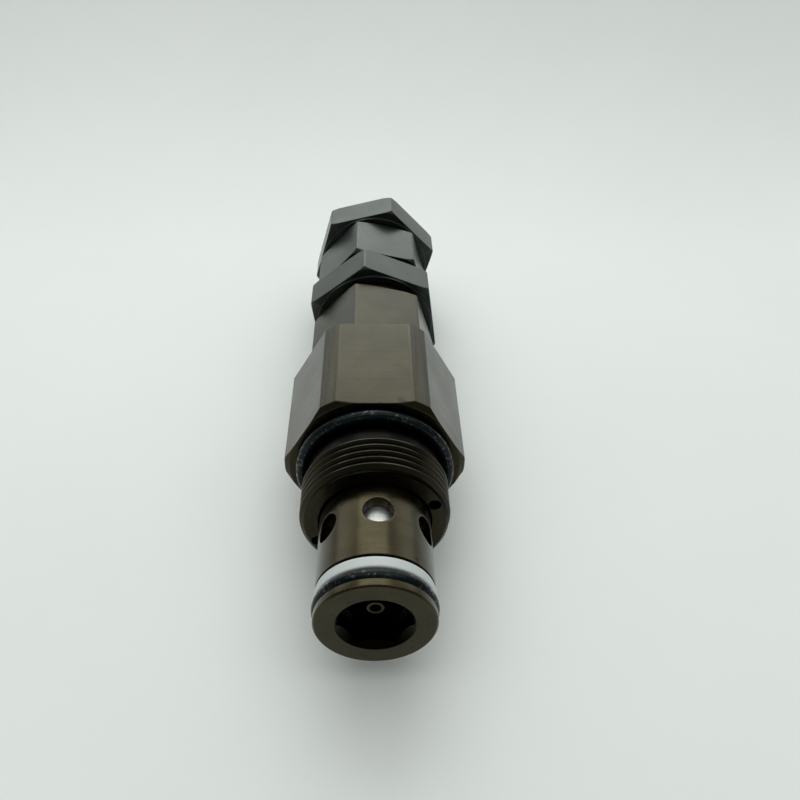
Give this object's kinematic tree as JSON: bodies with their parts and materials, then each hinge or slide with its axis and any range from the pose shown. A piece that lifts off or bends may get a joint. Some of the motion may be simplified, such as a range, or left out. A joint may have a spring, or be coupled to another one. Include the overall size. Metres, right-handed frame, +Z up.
{
  "type": "cartridge valve",
  "caption": "Screw-in pilot-operated relief cartridge valve with ported sleeve nose, hexagon body and two lock-nutted pressure adjusters.",
  "frame": {"origin": "centre of the hexagon flat on which the valve rests, midway along the large hexagon", "axes": "+Y along the valve axis from the nose to the adjusting screws, +Z up out of the opposite wrench flat, +X to the right seen from the nose"},
  "size_m": [0.045, 0.1655, 0.041],
  "materials": {
    "black_steel": "blackened steel with a brown cast, fine turning and milling lines, oiled",
    "sleeve_steel": "ground and blackened steel with a bronze cast",
    "nut_steel": "satin grey phosphated steel with a green cast",
    "ground_steel": "bright ground steel",
    "spring_steel": "drawn spring wire",
    "black_rubber": "smooth oiled nitrile rubber",
    "white_ptfe": "matte white PTFE"
  },
  "bodies": {
    "body": {"valve_body": "black_steel", "sleeve": "sleeve_steel", "sleeve_o_ring": "black_rubber", "nose_o_ring": "black_rubber", "nose_backup_ring": "white_ptfe", "body_o_ring": "black_rubber", "pilot_seat": "ground_steel", "pilot_seat_o_ring": "black_rubber", "pilot_housing": "black_steel", "housing_o_ring": "black_rubber", "main_spring": "spring_steel", "pilot_spring": "spring_steel"},
    "main_poppet": {"main_poppet": "ground_steel"},
    "orifice_piston": {"orifice_piston": "sleeve_steel"},
    "pilot_poppet": {"pilot_poppet": "ground_steel"},
    "plug_travel": {"plug_o_ring": "black_rubber"},
    "high_pressure_plug": {"high_pressure_plug": "nut_steel"},
    "screw_travel": {"screw_o_ring": "black_rubber"},
    "low_pressure_screw": {"low_pressure_screw": "nut_steel"},
    "set_piston": {"set_piston": "ground_steel", "set_piston_o_ring": "black_rubber", "spring_seat": "ground_steel"},
    "front_lock_nut": {"front_lock_nut": "nut_steel"},
    "rear_lock_nut": {"rear_lock_nut": "nut_steel"}
  },
  "joints": [
    {"name": "main_poppet_lift", "type": "slide", "parent": "body", "child": "main_poppet", "axis": [0, 1, 0], "range_m": [0, 0.0035], "stiffness_N_per_m": 6000, "springref_m": -0.004, "deforming": ["main_spring"]},
    {"name": "orifice_piston_lift", "type": "slide", "parent": "main_poppet", "child": "orifice_piston", "axis": [0, 1, 0], "range_m": [0, 0.0012], "stiffness_N_per_m": 3000, "springref_m": -0.004},
    {"name": "pilot_poppet_lift", "type": "slide", "parent": "body", "child": "pilot_poppet", "axis": [0, 1, 0], "range_m": [0, 0.0015], "stiffness_N_per_m": 20000, "springref_m": -0.003, "deforming": ["pilot_spring"]},
    {"name": "high_pressure_travel", "type": "slide", "parent": "body", "child": "plug_travel", "axis": [0, -1, 0], "range_m": [-0.0015, 0.003]},
    {"name": "high_pressure_turn", "type": "hinge", "parent": "plug_travel", "child": "high_pressure_plug", "pos_m": [0, 0, 0.0205], "axis": [0, -1, 0], "range_deg": [-360, 720]},
    {"name": "low_pressure_travel", "type": "slide", "parent": "high_pressure_plug", "child": "screw_travel", "axis": [0, -1, 0], "range_m": [-0.0015, 0.0015]},
    {"name": "low_pressure_turn", "type": "hinge", "parent": "screw_travel", "child": "low_pressure_screw", "pos_m": [0, 0, 0.0205], "axis": [0, -1, 0], "range_deg": [-360, 360]},
    {"name": "set_piston_shift", "type": "slide", "parent": "screw_travel", "child": "set_piston", "axis": [0, -1, 0], "range_m": [0, 0.0025], "stiffness_N_per_m": 8000, "springref_m": -0.003},
    {"name": "front_lock_nut_turn", "type": "hinge", "parent": "body", "child": "front_lock_nut", "pos_m": [0, 0, 0.0205], "axis": [0, -1, 0], "range_deg": [-90, 0]},
    {"name": "rear_lock_nut_turn", "type": "hinge", "parent": "high_pressure_plug", "child": "rear_lock_nut", "pos_m": [0, 0, 0.0205], "axis": [0, -1, 0], "range_deg": [-90, 0]}
  ],
  "couplings": [
    {"joint": "high_pressure_turn", "follows": "high_pressure_travel", "rad_per_m": 4188.8},
    {"joint": "low_pressure_turn", "follows": "low_pressure_travel", "rad_per_m": 4188.8}
  ]
}
